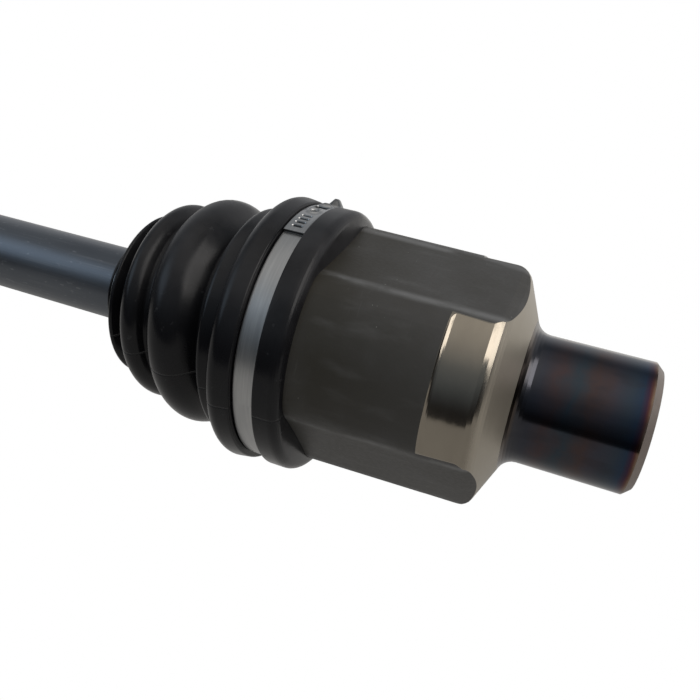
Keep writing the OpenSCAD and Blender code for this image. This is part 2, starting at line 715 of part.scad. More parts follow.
// Wall line of the outboard boot's folds, from the bell to the small collar
outboard_start = bell_mouth_x + 4;
outboard_end = outboard_start + folds_l;
outboard_collar_x = outboard_end + 4;
outboard_collar_end = outboard_collar_x + small_collar_w;
outboard_groove_x = bell_mouth_x - 2;
outboard_folds = concat([[bell_mouth_x + mouth_gap, outboard_groove_r - 2],
    [outboard_start, outboard_groove_r - 2, 2]],
    [for (i = [0 : folds - 1], half = [0, 1])
        let (x = outboard_start + folds_l * (i + 0.35 + half * 0.5) / folds)
        let (crest = fold_last_r + (fold_first_r - fold_last_r) * (i + half * 0.5) / (folds - 1))
        half == 0 ? [x, crest - fold_depth, 2.2] : [x, crest, 2.6]],
    [[outboard_end + 2, small_collar_r, 1.5], [outboard_collar_x + 4, small_collar_r]]);

module outboard_boot() {
    flange = 1.4;
    seat_end = outboard_groove_x - groove_w - flange;
    mirrored = [for (p = outboard_folds) [-p[0], p[1], p[2]]];
    inner_mirrored = rounded(concat([[-bell_mouth_x - mouth_gap, bell_seat_r + seat_gap],
        [-bell_mouth_x - mouth_gap, outboard_groove_r - 2 - boot_wall, 1]], inset(mirrored, boot_wall),
        [[-outboard_collar_x, bar_r + boot_gap]]));
    inner = [for (p = inner_mirrored) [-p[0], p[1]]];
    outer = rounded(concat([[seat_end, bell_seat_r + seat_gap], [seat_end, outboard_groove_r + flange, 0.5],
        [seat_end + flange, outboard_groove_r + flange, 0.5], [seat_end + flange, outboard_groove_r, 0.2],
        [outboard_groove_x, outboard_groove_r, 0.2], [outboard_groove_x, outboard_groove_r + shoulder_h, 0.8],
        [outboard_start, outboard_groove_r + shoulder_h, 2]],
        [for (i = [2 : len(outboard_folds) - 2]) outboard_folds[i]],
        [[outboard_collar_x + 0.6, small_collar_r, 0], [outboard_collar_x + 0.6, small_groove_r, 0.2],
        [outboard_collar_end - collar_flange, small_groove_r, 0.2],
        [outboard_collar_end - collar_flange, small_collar_r, 0.3],
        [outboard_collar_end, small_collar_r, 0.4], [outboard_collar_end, bar_r + boot_gap]]));
    color([0.08, 0.08, 0.09]) turned(concat(outer, [for (i = [len(inner) - 1 : -1 : 0]) inner[i]]));
}

module outboard_large_clamp() {
    x0 = outboard_groove_x - band_gap;
    color([0.5, 0.51, 0.52]) {
        clamp_band(x0, outboard_band_r, band_w, band_t, band_t, lap_from, lap_to);
        on_radius(hook_angle) translate([0, 0, outboard_band_r]) hook(x0);
    }
}

module outboard_small_clamp() {
    x0 = outboard_collar_end - collar_flange - 2 * band_gap;
    color([0.5, 0.51, 0.52]) ear_clamp(x0, small_band_r + seat_gap, small_band_w, small_band_t, 90);
}

inboard_housing();
bore_plug();
boot_insert();
inboard_boot();
inboard_large_clamp();
inboard_small_clamp();
tripod_spider();
roller(lobe_angles[0]);  // roller_a
roller(lobe_angles[1]);  // roller_b
roller(lobe_angles[2]);  // roller_c
needles(lobe_angles[0]);  // needles_a
needles(lobe_angles[1]);  // needles_b
needles(lobe_angles[2]);  // needles_c
roller_washers();
roller_clips();
spider_stop_ring();
spider_end_ring();
shaft_bar();
inner_race();
race_ring();
cage();
ball(ball_angles[0]);  // ball_a
ball(ball_angles[1]);  // ball_b
ball(ball_angles[2]);  // ball_c
ball(ball_angles[3]);  // ball_d
ball(ball_angles[4]);  // ball_e
ball(ball_angles[5]);  // ball_f
outboard_housing();
outboard_boot();
outboard_large_clamp();
outboard_small_clamp();
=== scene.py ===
import json
import math

import bpy
import numpy as np
from mathutils import Matrix, Vector


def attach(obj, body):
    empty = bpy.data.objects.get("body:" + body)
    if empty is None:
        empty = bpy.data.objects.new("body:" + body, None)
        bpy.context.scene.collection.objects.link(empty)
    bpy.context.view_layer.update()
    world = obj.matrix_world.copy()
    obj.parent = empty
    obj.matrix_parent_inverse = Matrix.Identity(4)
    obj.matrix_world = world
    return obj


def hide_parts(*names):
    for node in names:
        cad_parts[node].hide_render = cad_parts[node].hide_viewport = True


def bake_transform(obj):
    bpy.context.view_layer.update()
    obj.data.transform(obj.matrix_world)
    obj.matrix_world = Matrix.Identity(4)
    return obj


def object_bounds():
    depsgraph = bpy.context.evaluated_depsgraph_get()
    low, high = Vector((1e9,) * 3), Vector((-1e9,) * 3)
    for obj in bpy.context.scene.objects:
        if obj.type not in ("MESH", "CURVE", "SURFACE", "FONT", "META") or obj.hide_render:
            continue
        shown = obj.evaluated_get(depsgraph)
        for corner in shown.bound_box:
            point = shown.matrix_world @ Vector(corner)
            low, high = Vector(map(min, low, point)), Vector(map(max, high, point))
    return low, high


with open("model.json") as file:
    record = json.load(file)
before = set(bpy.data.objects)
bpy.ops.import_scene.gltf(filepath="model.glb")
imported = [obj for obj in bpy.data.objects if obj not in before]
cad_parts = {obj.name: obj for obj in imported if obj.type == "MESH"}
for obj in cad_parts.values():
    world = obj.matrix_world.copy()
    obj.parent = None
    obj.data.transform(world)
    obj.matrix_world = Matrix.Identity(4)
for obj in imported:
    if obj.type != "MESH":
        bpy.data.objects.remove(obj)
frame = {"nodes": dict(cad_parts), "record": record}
cad_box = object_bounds()
nodes = frame["nodes"]

# Viewpoint. The eye is above the stub and looks down along the shaft towards the folded boot, so the
# bar leaves the picture on the left.
picture_width = 700
focal_length = 720
sensor_width = 36
eye = Vector((-0.02707, -0.1845, 0.1314))
heading, pitch, roll = (math.radians(a) for a in (19.7, -34.026, 4.346))
scene = bpy.context.scene
scene.view_settings.view_transform = "Standard"
viewpoint = bpy.data.objects.new("viewpoint", bpy.data.cameras.new("viewpoint"))
viewpoint.data.sensor_width = sensor_width
viewpoint.data.lens = sensor_width * focal_length / picture_width
viewpoint.data.clip_start = 0.01
viewpoint.matrix_world = (Matrix.Translation(eye) @ Matrix.Rotation(heading, 4, "Z")
                          @ Matrix.Rotation(math.pi / 2 + pitch, 4, "X") @ Matrix.Rotation(roll, 4, "Z"))
scene.collection.objects.link(viewpoint)
scene.camera = viewpoint


# Studio. A pale table under a bright ceiling, with dim walls in front and a white sweep behind, one soft
# window beyond the stub's end and a small cool one at the bar's side. The table shows white to the eye,
# and glossy faces see it brighter towards the back.
class Tone:
    """A socket of a node tree. Arithmetic on tones adds Math nodes, and node() adds any other node."""

    def __init__(self, tree, socket=None):
        self.tree = tree
        self.socket = socket

    def node(self, kind, settings=None, inputs=None, output=0):
        """A new node: its settings are set first, where stops fill a colour ramp, and then its sockets
        get values or links."""
        made = self.tree.nodes.new("ShaderNode" + kind)
        for name, value in (settings or {}).items():
            if name != "stops":
                setattr(made, name, value)
                continue
            ramp = made.color_ramp
            ramp.elements.remove(ramp.elements[1])
            ramp.elements[0].position = value[0][0]
            ramp.elements[0].color = (*value[0][1], 1)
            for place, colour in value[1:]:
                ramp.elements.new(place).color = (*colour, 1)
        for name, value in (inputs or {}).items():
            socket = made.inputs[name]
            if isinstance(value, Tone):
                self.tree.links.new(value.socket, socket)
            elif socket.type == "RGBA":
                socket.default_value = (*value, 1)
            else:
                socket.default_value = value
        return Tone(self.tree, made.outputs[output])

    def maths(self, operation, *values):
        """A Math node of an operation on these values. Its result is not clamped."""
        return self.node("Math", {"operation": operation}, dict(enumerate(values)))

    def __add__(self, other):
        return self.maths("ADD", self, other)

    def __radd__(self, other):
        return self.maths("ADD", other, self)

    def __sub__(self, other):
        return self.maths("SUBTRACT", self, other)

    def __rsub__(self, other):
        return self.maths("SUBTRACT", other, self)

    def __mul__(self, other):
        return self.maths("MULTIPLY", self, other)

    def __rmul__(self, other):
        return self.maths("MULTIPLY", other, self)

    def __truediv__(self, other):
        return self.maths("DIVIDE", self, other)

    def __pow__(self, other):
        return self.maths("POWER", self, other)

    def __gt__(self, other):
        return self.maths("GREATER_THAN", self, other)

    def __lt__(self, other):
        return self.maths("LESS_THAN", self, other)

    def above(self, other):
        """The larger of two values."""
        return self.maths("MAXIMUM", self, other)

    def below(self, other):
        """The smaller of two values."""
        return self.maths("MINIMUM", self, other)

    def rise(self, low, high):
        """0 up to low, 1 from high on, and a smooth step between them."""
        return self.node("MapRange", {"interpolation_type": "SMOOTHSTEP"}, {0: self, 1: low, 2: high})

    def blend(self, one, other):
        """The colour one where this tone is 0, and other where it is 1."""
        return self.node("Mix", {"data_type": "RGBA"}, {0: self, 6: one, 7: other}, 2)


def grid_piece(name, points, close_rows=False, close_columns=False, crease=30):
    """A piece through a grid of points in metres, one quad for each cell. Closing joins the last row
    or column to the first, and edges sharper than crease degrees stay sharp."""
    rows, columns = points.shape[:2]
    index = np.arange(rows * columns).reshape(rows, columns)
    if close_rows:
        index = np.vstack([index, index[:1]])
    if close_columns:
        index = np.hstack([index, index[:, :1]])
    corners = [index[:-1, :-1], index[1:, :-1], index[1:, 1:], index[:-1, 1:]]
    quads = np.stack(corners, -1).reshape(-1, 4)
    mesh = bpy.data.meshes.new(name)
    mesh.from_pydata(points.reshape(-1, 3).tolist(), [], quads.tolist())
    mesh.shade_smooth()
    mesh.set_sharp_from_angle(angle=math.radians(crease))
    piece = bpy.data.objects.new(name, mesh)
    scene.collection.objects.link(piece)
    return piece


def lamp(name, place, target, width, height, power, colour):
    """A soft rectangular lamp that faces a target."""
    light = bpy.data.lights.new(name, "AREA")
    light.shape = "RECTANGLE"
    light.size, light.size_y = width, height
    light.energy = power
    light.color = colour
    stand = bpy.data.objects.new(name, light)
    stand.location = place
    stand.rotation_euler = (Vector(target) - Vector(place)).to_track_quat("-Z", "Y").to_euler()
    scene.collection.objects.link(stand)


table_drop = 0.0005
table_x, table_y = (-1.3, 0.7), (-0.62, 1.3)
table_dim, table_lit, lit_from_y = 0.5, 0.9, 0.25
wall_dim = (0.035, 0.035, 0.037)
ceiling_stops = [(0.0, wall_dim), (0.55, wall_dim), (0.62, (0.075, 0.085, 0.1)), (0.7, (0.14, 0.165, 0.19)),
                 (0.77, (0.22, 0.25, 0.285)), (0.84, (0.3, 0.33, 0.36)), (0.93, (0.6, 0.6, 0.6)),
                 (1.0, (0.95, 0.93, 0.9))]

world = bpy.data.worlds.new("studio_air")
world.use_nodes = True
scene.world = world
air = Tone(world.node_tree)
direction = air.node("TexCoord")
back, up = (air.node("SeparateXYZ", inputs={0: direction}, output=i) for i in (1, 2))
ceiling = air.node("ValToRGB", {"stops": ceiling_stops}, {0: up * 0.5 + 0.5})
sweep = back.rise(0.1, 0.6) * (1 - up.rise(0.3, 0.75))
room = sweep.blend(ceiling, (0.68, 0.69, 0.71))
eye_ray = air.node("LightPath")
seen = eye_ray.blend(room, (1, 1, 1))
world.node_tree.links.new(seen.socket, world.node_tree.nodes["Background"].inputs[0])

table_z = cad_box[0][2] - table_drop
across, along = np.meshgrid(np.linspace(*table_y, 2), np.linspace(*table_x, 2))
table = grid_piece("table", np.stack([along, across, np.full_like(along, table_z)], -1))
paper = bpy.data.materials.new("table_paper")
paper.use_nodes = True
tree = paper.node_tree
sheet = Tone(tree)
spot = sheet.node("TexCoord", output=3)
far = sheet.node("SeparateXYZ", inputs={0: spot}, output=1)
lit = (far.rise(0.0, lit_from_y) * table_lit).above(table_dim)
plain = sheet.node("BsdfDiffuse", inputs={"Color": (0.6, 0.585, 0.56)})
gleam = sheet.node("Emission", inputs={"Color": lit.blend((0, 0, 0), (1.0, 0.98, 0.95)), "Strength": 1.0})
white = sheet.node("Emission", inputs={"Color": (1, 1, 1), "Strength": 1.0})
in_gloss = sheet.node("MixShader", inputs={0: sheet.node("LightPath", output=3), 1: plain, 2: gleam})
shown = sheet.node("MixShader", inputs={0: sheet.node("LightPath"), 1: in_gloss, 2: white})
tree.links.new(shown.socket, tree.nodes["Material Output"].inputs[0])
table.data.materials.append(paper)

lamp("end_window", (0.58, -0.08, 0.64), (-0.045, -0.02, 0.01), 0.72, 0.56, 4.6, (1.0, 0.96, 0.92))
lamp("side_window", (-0.74, -0.33, 0.46), (-0.17, 0, 0), 0.5, 0.4, 1.0, (0.66, 0.82, 1.0))


# Inboard housing. One steel forging, phosphated dark olive: three lobes hold the tracks, with flats
# between them. A lathe has cut the pads and the end cone bright, and the ground stub behind them is
# heat-blued from hardening, with a bare chamfer at its end.
stub_r, neck_x = 20.0, -36.0
pad_r, pad_start_x = 38.32, -58.3
cone_corner_x, cone_corner_r = -47.9, 6.0
cone_turn = math.radians(66.5)
bore_r = 17.5
chamfer_w = 2.15
cut_depth = 0.12
tinted_l = 40
flat_angle = math.radians(150)
crease_cosine = math.cos(math.radians(3 * 34.3))
unroll_r = 40


def finish(name, paint, **settings):
    """A material of one Principled shader. paint gets a first tone and returns what its sockets hold:
    tones are linked, and plain settings are set on the sockets themselves."""
    material = bpy.data.materials.new(name)
    material.use_nodes = True
    tree = material.node_tree
    shader = tree.nodes["Principled BSDF"]
    for socket, value in settings.items():
        shader.inputs[socket.replace("_", " ")].default_value = value
    for socket, tone in paint(Tone(tree)).items():
        tree.links.new(tone.socket, shader.inputs[socket.replace("_", " ")])
    return material


def place_in_mm(t):
    """The point's place on the object in millimetres, and its x, y, z and radius about the shaft's axis."""
    spot = t.node("VectorMath", {"operation": "SCALE"}, {0: t.node("TexCoord", output=3), "Scale": 1000})
    x, y, z = (t.node("SeparateXYZ", inputs={0: spot}, output=i) for i in range(3))
    return spot, x, y, z, (y * y + z * z) ** 0.5


def noise(t, spot, size, detail=3, stretch=(1, 1, 1)):
    """Noise from 0 to 1 whose blotches are about size mm across, drawn out by stretch."""
    scale = tuple(1 / (size * s) for s in stretch)
    spread = t.node("VectorMath", {"operation": "MULTIPLY"}, {0: spot, 1: scale})
    return t.node("TexNoise", inputs={"Vector": spread, "Scale": 1.0, "Detail": detail, "Roughness": 0.5})


def around(t, x, y, z, r):
    """The same point unrolled about the shaft: x, the way round in mm at unroll_r, and the radius."""
    angle = t.maths("ARCTAN2", z, y)
    return t.node("CombineXYZ", inputs={0: x, 1: angle * unroll_r, 2: r})


def bump(t, height, depth_mm):
    """A bump from a height of 0 to 1, depth_mm deep."""
    return t.node("Bump", inputs={"Strength": 1.0, "Distance": 0.001 * depth_mm, "Height": height})


def lathe_radius(x):
    """The turned outline's radius at x: the pads' cylinder, a round corner, the cone and the stub."""
    corner = (x - cone_corner_x).above(0).below(cone_corner_r * math.sin(cone_turn))
    arc = (cone_corner_r ** 2 - corner * corner) ** 0.5 + (pad_r - cone_corner_r)
    cone = (neck_x - x) * math.tan(cone_turn) + stub_r
    return cone.below(arc).above(stub_r)


def forged_colour(t, spot, unrolled, x, y, z, clouds, fine):
    """Forged skin: broad olive and grey clouds, paler towards the stub, with rubbed streaks and hammer
    marks, creases paled in places where wear bares the metal and a painted highlight lies along their
    rounds, and a few bright nicks."""
    paler = clouds.rise(0.35, 0.7) * 0.55 + x.rise(-98, -60) * 0.5
    olive = paler.blend((0.027, 0.0238, 0.0175), (0.052, 0.0495, 0.046))
    drawn = noise(t, spot, 6, 4, (3, 1, 1))
    marks = noise(t, unrolled, 1.6, 4, (0.35, 6, 1)).rise(0.6, 0.75) * clouds.rise(0.4, 0.6)
    rubbing = drawn.rise(0.5, 0.8) * 0.4 + fine.rise(0.6, 0.9) * 0.15 + marks * 0.25
    rubbed = rubbing.blend(olive, (0.09, 0.088, 0.084))
    # The creases' rounds are paled in places: partly wear down to the metal, partly a painted highlight.
    three_fold = t.maths("COSINE", (t.maths("ARCTAN2", z, y) - flat_angle) * 3)
    crease = 1 - t.maths("ABSOLUTE", three_fold - crease_cosine).rise(0.0, 0.19)
    wear_and_sheen = crease * noise(t, spot, 9, 4, (2, 1, 1)).rise(0.36, 0.62)
    crease_worn_and_sheened = (wear_and_sheen * 0.75).blend(rubbed, (0.15, 0.148, 0.145))
    nicks = noise(t, spot, 0.9, 1, (1, 1, 2.5)).rise(0.775, 0.8) * clouds.rise(0.45, 0.55)
    return nicks.blend(crease_worn_and_sheened, (0.22, 0.22, 0.2))


def oxide_colour(t, unrolled, x, smear):
    """The ground stub's heat colours: straw at both ends, a thin purple line and then blue, with brown
    and blue patches that wander between them."""
    wander = (smear - 0.5) * 2 * (x.rise(-5, -15) * x.rise(-34, -26) * 4 + 0.5)
    tint = t.node("ValToRGB", {"stops": [
        (0.0, (0.22, 0.175, 0.12)), (0.055, (0.19, 0.135, 0.095)), (0.072, (0.095, 0.042, 0.036)),
        (0.09, (0.045, 0.026, 0.045)), (0.125, (0.025, 0.04, 0.066)), (0.19, (0.034, 0.045, 0.06)),
        (0.3, (0.046, 0.044, 0.054)), (0.42, (0.058, 0.041, 0.04)), (0.55, (0.034, 0.045, 0.056)),
        (0.68, (0.055, 0.04, 0.042)), (0.8, (0.04, 0.042, 0.052)), (0.89, (0.05, 0.05, 0.055)),
        (0.94, (0.085, 0.06, 0.04)), (1.0, (0.2, 0.165, 0.125))]},
        {0: (wander - x) / tinted_l})
    mottle = noise(t, unrolled, 9, 4).rise(0.45, 0.75) * 0.5
    return mottle.blend(tint, (0.03, 0.03, 0.036))


def paint_housing(t):
    """Dull forged skin, and bright steel wherever the surface lies on the turned outline or in the bore."""
    spot, x, y, z, r = place_in_mm(t)
    unrolled = around(t, x, y, z, r)
    clouds = noise(t, spot, 26, 4)
    fine = noise(t, spot, 1.1, 5)
    smear = noise(t, unrolled, 5, 3, (1, 3, 1))
    rings = noise(t, spot, 0.5, 2, (1, 40, 40))

    cut = (r > lathe_radius(x) - cut_depth) * (x > pad_start_x)
    chamfer = x > -chamfer_w
    in_bore = r < bore_r
    bright = cut.above(in_bore.above(chamfer))
    on_stub = (x > neck_x - 1.5) * (cut - chamfer)
    on_cone = x.rise(cone_corner_x + 2.5, cone_corner_x + 5) * (1 - on_stub) * (x < neck_x)

    pads = smear.blend((0.21, 0.185, 0.15), (0.28, 0.25, 0.205))
    # The cone is paler and more golden than the pads: a painted reflection of the bright table beyond the
    # stub.
    pads_and_sheened_cone = on_cone.blend(pads, (0.345, 0.31, 0.255))
    blued = on_stub.blend(pads_and_sheened_cone, oxide_colour(t, unrolled, x, smear))
    bare = smear.blend((0.19, 0.16, 0.145), (0.26, 0.225, 0.2))
    steel = in_bore.blend(chamfer.blend(blued, bare), (0.3, 0.29, 0.28))
    shine = smear * 0.08 + 0.1 + on_cone * 0.26 + on_stub * x.rise(-30, neck_x) * 0.06 + chamfer * 0.3
    waves = rings * 0.06 + smear * (1 - on_stub) * 2.2

    forged = forged_colour(t, spot, unrolled, x, y, z, clouds, fine)
    height = (fine * 0.7 + clouds * 0.6) * (1 - bright) + waves * bright
    return {"Base Color": bright.blend(forged, steel),
            "Metallic": bright * (0.98 - on_cone * 0.22 - chamfer * 0.3),
            "Roughness": (fine * 0.16 + 0.4) * (1 - bright) + shine * bright,
            "Normal": bump(t, height, 0.05)}


housing = nodes["inboard_housing"]
housing.data.materials.clear()
housing.data.materials.append(finish("forged_and_turned_steel", paint_housing, IOR=1.5,
                                     Specular_IOR_Level=0.28))


# Bar. Solid steel, induction hardened and drawn through its furnace: satin blue-grey, with light
# scratches and scuffs along it, and splines at both ends inside the joints.
def paint_bar(t):
    """Blue-grey clouds with fine lines drawn along the bar, and scuffs across them."""
    spot = place_in_mm(t)[0]
    clouds = noise(t, spot, 14, 4, (3, 1, 1))
    lines = noise(t, spot, 0.7, 3, (40, 1, 1))
    scuffs = noise(t, spot, 3, 5, (1, 0.4, 0.4)).rise(0.62, 0.72)
    base = clouds.blend((0.07, 0.078, 0.09), (0.115, 0.124, 0.138))
    lined = (lines.rise(0.5, 0.8) * 0.4).blend(base, (0.17, 0.178, 0.19))
    marked = (scuffs * 0.35).blend(lined, (0.24, 0.25, 0.27))
    return {"Base Color": marked, "Roughness": clouds * 0.16 + lines * 0.1 + 0.24,
            "Normal": bump(t, lines + scuffs * 0.5, 0.02)}


nodes["shaft_bar"].data.materials.clear()
nodes["shaft_bar"].data.materials.append(finish("satin_blue_steel", paint_bar, Metallic=0.85))


# Inboard boot. Moulded black elastomer with two deep folds, a stepped shoulder and a collar that the
# band grips. Its small collar is clamped on the bar.
def rounded(corners, turn_step=7):
    """An outline through corners [x, r, fillet] in mm: the first and last stay, and each other corner
    gives way to an arc tangent to both its sides, in equal turns of about turn_step degrees."""
    corners = np.array([(*c, 0) if len(c) == 2 else c for c in corners], float)
    pieces = [corners[:1, :2]]
    for before, corner, after in zip(corners[:-2], corners[1:-1], corners[2:]):
        place, fillet = corner[:2], corner[2]
        to_before = (before[:2] - place) / np.linalg.norm(before[:2] - place)
        to_after = (after[:2] - place) / np.linalg.norm(after[:2] - place)
        if fillet <= 0:
            pieces.append(place[None])
            continue
        half = np.arccos(to_before @ to_after) / 2
        bisector = (to_before + to_after) / np.linalg.norm(to_before + to_after)
        centre = place + bisector * fillet / np.sin(half)
        spoke = place + to_before * fillet / np.tan(half) - centre
        end = place + to_after * fillet / np.tan(half) - centre
        start = np.arctan2(spoke[1], spoke[0])
        turn = (np.arctan2(end[1], end[0]) - start + 3 * np.pi) % (2 * np.pi) - np.pi
        steps = start + turn * np.linspace(0, 1, max(3, int(abs(np.degrees(turn)) / turn_step) + 2))
        pieces.append(centre + fillet * np.stack([np.cos(steps), np.sin(steps)], -1))
    return np.vstack([*pieces, corners[-1:, :2]])


def inset(corners, wall):
    """The same corners moved inwards by wall, each to where its two sides' parallels meet; fillets on
    crests shrink and those in valleys grow, so the wall stays even."""
    corners = np.array(corners, float)
    runs = np.diff(corners[:, :2], axis=0)
    sides = np.stack([-runs[:, 1], runs[:, 0]], -1) / np.linalg.norm(runs, axis=1)[:, None]
    first, second = sides[:-1], sides[1:]
    share = 1 + (first * second).sum(1, keepdims=True)
    turns = runs[:-1, 0] * runs[1:, 1] - runs[:-1, 1] * runs[1:, 0]
    fillets = np.where(turns > 0, np.maximum(0.3, corners[1:-1, 2] - wall), corners[1:-1, 2] + wall)
    return np.column_stack([corners[1:-1, :2] + wall * (first + second) / share, fillets])


def turned(name, outline, lean=0.0, lean_from=0.0, lean_to=0.0):
    """A closed outline of [x, r] points in mm, turned about the shaft's axis at even angles. Between two
    places, fading over 12 and 14 mm, the top leans back along x by lean mm for each 40 mm of radius, and
    the bottom leans forward."""
    x, r = np.array(outline, float).T / 1000
    area = (x * np.roll(r, -1) - np.roll(x, -1) * r).sum()
    if area > 0:
        x, r = x[::-1], r[::-1]
    angle = np.linspace(0, 2 * np.pi, 288, endpoint=False)[:, None]
    share = np.clip((lean_from / 1000 - x) / 0.012, 0, 1) * np.clip((x - lean_to / 1000) / 0.014, 0, 1)
    points = np.stack([x - lean / 40 * share * r * np.sin(angle), r * np.cos(angle), r * np.sin(angle)], -1)
    return grid_piece(name, points, True, True, 30)


seam_angle = math.radians(182.5)


def paint_rubber(t):
    """Black, with scuffs, a grey haze on top that is partly dust and partly painted sheen, and the mould's
    parting line cut into each side.
    """
    spot, _, y, z, r = place_in_mm(t)
    clouds = noise(t, spot, 9, 4)
    fine = noise(t, spot, 0.35, 3)
    scuffs = noise(t, spot, 2.4, 5, (1, 1.6, 1)).rise(0.6, 0.78) * clouds.rise(0.45, 0.65)
    # The haze lies on the tops only: grey dust, and a painted sheen of the light from above.
    haze = noise(t, spot, 17, 3).rise(0.25, 0.7) * (z / r).rise(0.35, 0.95)
    base = clouds.blend((0.0042, 0.0042, 0.0052), (0.0075, 0.0075, 0.0085))
    seam = t.maths("ABSOLUTE", z * math.cos(seam_angle) - y * math.sin(seam_angle)).rise(0.12, 0.4)
    # Scuffs and the haze, dust with painted sheen, pale the black and roughen it.
    wear_and_sheen = (scuffs * 0.45).above(haze * 0.34)
    return {"Base Color": wear_and_sheen.blend(base, (0.06, 0.058, 0.06)),
            "Roughness": clouds * 0.08 + wear_and_sheen * 0.75 + 0.16,
            "Normal": bump(t, fine * 0.03 + clouds * 0.06 + seam, 0.5)}


rubber = finish("moulded_black_rubber", paint_rubber, IOR=1.5, Specular_IOR_Level=0.2)
bar_r = 13.1
boot_wall = 2.0
seat_r, groove_r = 39.1, 40.7
groove_x, groove_w = -106.3, 7.3
shoulder_x, step_x = groove_x - groove_w, groove_x - groove_w - 8
mouth_x = -118.4
small_collar_r, small_groove_r = 17.6, 16.75
small_start_x, small_end_x = -166.9, -175.3
fold_lean = 2.7

# Corners of the folds and of the whole moulding: x, radius and fillet, from the housing to the bar
folds = [(mouth_x, groove_r - 2.4, 0), (step_x - 5.9, groove_r - 2.4, 1.5), (step_x - 7.8, 30, 1.5),
         (step_x - 20.6, 44.2, 7.8), (step_x - 28.3, 28.8, 1.5), (step_x - 34.3, 37.7, 4.2),
         (small_start_x, small_collar_r + 4, 0.5), (small_start_x, small_collar_r - 1, 0)]
outside = [(groove_x, seat_r), (groove_x, groove_r, 0.3), (shoulder_x, groove_r, 0.3),
           (shoulder_x, groove_r + 2.9, 0.8), (step_x, groove_r + 4.1, 4),
           (step_x - 1, groove_r - 2.6, 0.6), (step_x - 5.9, groove_r - 1.8, 1.5), *folds[2:6],
           (small_start_x + 3.9, 24.5, 0.4), (small_start_x, 30.4, 0.9),
           (small_start_x, small_collar_r, 1.2),
           (small_end_x + 7.2, small_collar_r, 0), (small_end_x + 7.2, small_groove_r, 0.2),
           (small_end_x + 0.9, small_groove_r, 0.2), (small_end_x + 0.9, small_collar_r, 0.3),
           (small_end_x, small_collar_r, 0.4), (small_end_x, bar_r + 0.1)]
inside = [(mouth_x - 0.2, seat_r), (mouth_x - 0.2, groove_r - 4.4, 1), *inset(folds, boot_wall),
          (small_start_x + boot_wall, bar_r + 0.1)]
boot = turned("inboard_boot_moulding", np.vstack([rounded(outside), rounded(inside)[::-1]]),
              lean=fold_lean, lean_from=step_x, lean_to=small_start_x)
boot.data.materials.append(rubber)
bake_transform(boot)
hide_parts("inboard_boot")

insert = nodes["boot_insert"]
insert.data.materials.clear()
insert.data.materials.append(rubber)


# Clamps. Rolled stainless straps: the large ones lap over themselves, lock with hooks in windows and
# are pressed with a round dimple, and the small ones have one pinched ear.
band_w, band_t = 6.9, 1.0
band_r, outboard_band_r = 41.8, 42.65
between_bands_x = -300.0
dimple_angle, dimple_r, rim_w = 83.5, 2.1, 0.5
tick_angles, tick_half, tick_r = (90.5, 93.5, 96.5, 99.5), 1.2, 0.42
climb_degrees, steps_per_degree = 7, 3


def paint_band(t):
    """Grey rolled steel streaked along the strap, darker where the lap climbs, in its marks and on
    its hooks."""
    _, x, y, z, r = place_in_mm(t)
    unrolled = around(t, x, y, z, r)
    streaks = noise(t, unrolled, 0.5, 4, (1, 30, 1))
    clouds = noise(t, unrolled, 7, 3, (1, 2, 1))
    grey = clouds.blend((0.27, 0.272, 0.275), (0.37, 0.37, 0.365))
    rolled = (streaks.rise(0.4, 0.8) * 0.5).blend(grey, (0.46, 0.455, 0.445))
    proud = r - band_r - (x < between_bands_x) * (outboard_band_r - band_r)
    # Darker where the lap climbs, in the pressed marks and on the hooks.
    darkened = (proud.rise(0.1, 0.2) * (1 - proud.rise(0.68, 0.8))).above(proud.rise(1.3, 2.2) * 0.7)
    return {"Base Color": (darkened * 0.9).blend(rolled, (0.02, 0.02, 0.02)),
            "Roughness": streaks * 0.14 + clouds * 0.08 + 0.22, "Normal": bump(t, streaks, 0.015)}


band_steel = finish("rolled_stainless", paint_band, Metallic=0.95)


def strap(name, x_back, width, radius, thick, start, stop, lap_from, body, node, marks=()):
    """A strap of rounded rectangular section that runs round the shaft's axis from start to stop
    degrees. Beyond lap_from it climbs by its own thickness, so its end lies over its beginning."""
    edge = thick * 0.3
    corner = np.radians(np.arange(0, 91, 30))
    arc = np.stack([np.cos(corner), np.sin(corner)], -1) * edge
    flat = np.linspace(-1, 1, 25)[1:-1, None] * [width / 2 - edge, 0]
    top = np.vstack([np.array([width / 2 - edge, thick - edge]) + arc, flat[::-1] + [0, thick],
                     np.array([edge - width / 2, thick - edge]) + arc[::-1] * [-1, 1]])
    section = np.vstack([top, top[::-1] * [1, -1] + [0, thick]])
    degrees = np.linspace(start, stop, int((stop - start) * steps_per_degree) + 1)
    climb = np.clip((degrees - lap_from) / climb_degrees, 0, 1)
    climb = thick * climb ** 2 * (3 - 2 * climb)
    x = x_back + width / 2 + section[None, :, 0] + 0 * degrees[:, None]
    r = radius - thick + section[None, :, 1] + climb[:, None]
    skin = (section[None, :, 1] > thick * 0.9) * np.ones_like(x)
    for mark in marks:
        r = r + skin * mark(degrees[:, None], x - x_back - width / 2)
    angle = np.radians(degrees)[:, None]
    points = np.stack([x, r * np.cos(angle), r * np.sin(angle)], -1) / 1000
    ends = points.mean(1, keepdims=True)
    capped = np.concatenate([ends[:1] + 0 * points[:1], points, ends[-1:] + 0 * points[-1:]])
    piece = grid_piece(name, capped, False, True, 40)
    piece.data.materials.append(band_steel)
    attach(piece, body)
    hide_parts(node)


def dimple(degrees, across):
    """A round button about 5 mm across: a raised rim, a bell curve of the distance from its middle,
    round a sunk floor."""
    away = np.hypot(np.radians(degrees - 360 - dimple_angle) * band_r, across)
    return 0.45 * np.exp(-((away - dimple_r) / rim_w) ** 2) - 0.3 * (away < 1.5)


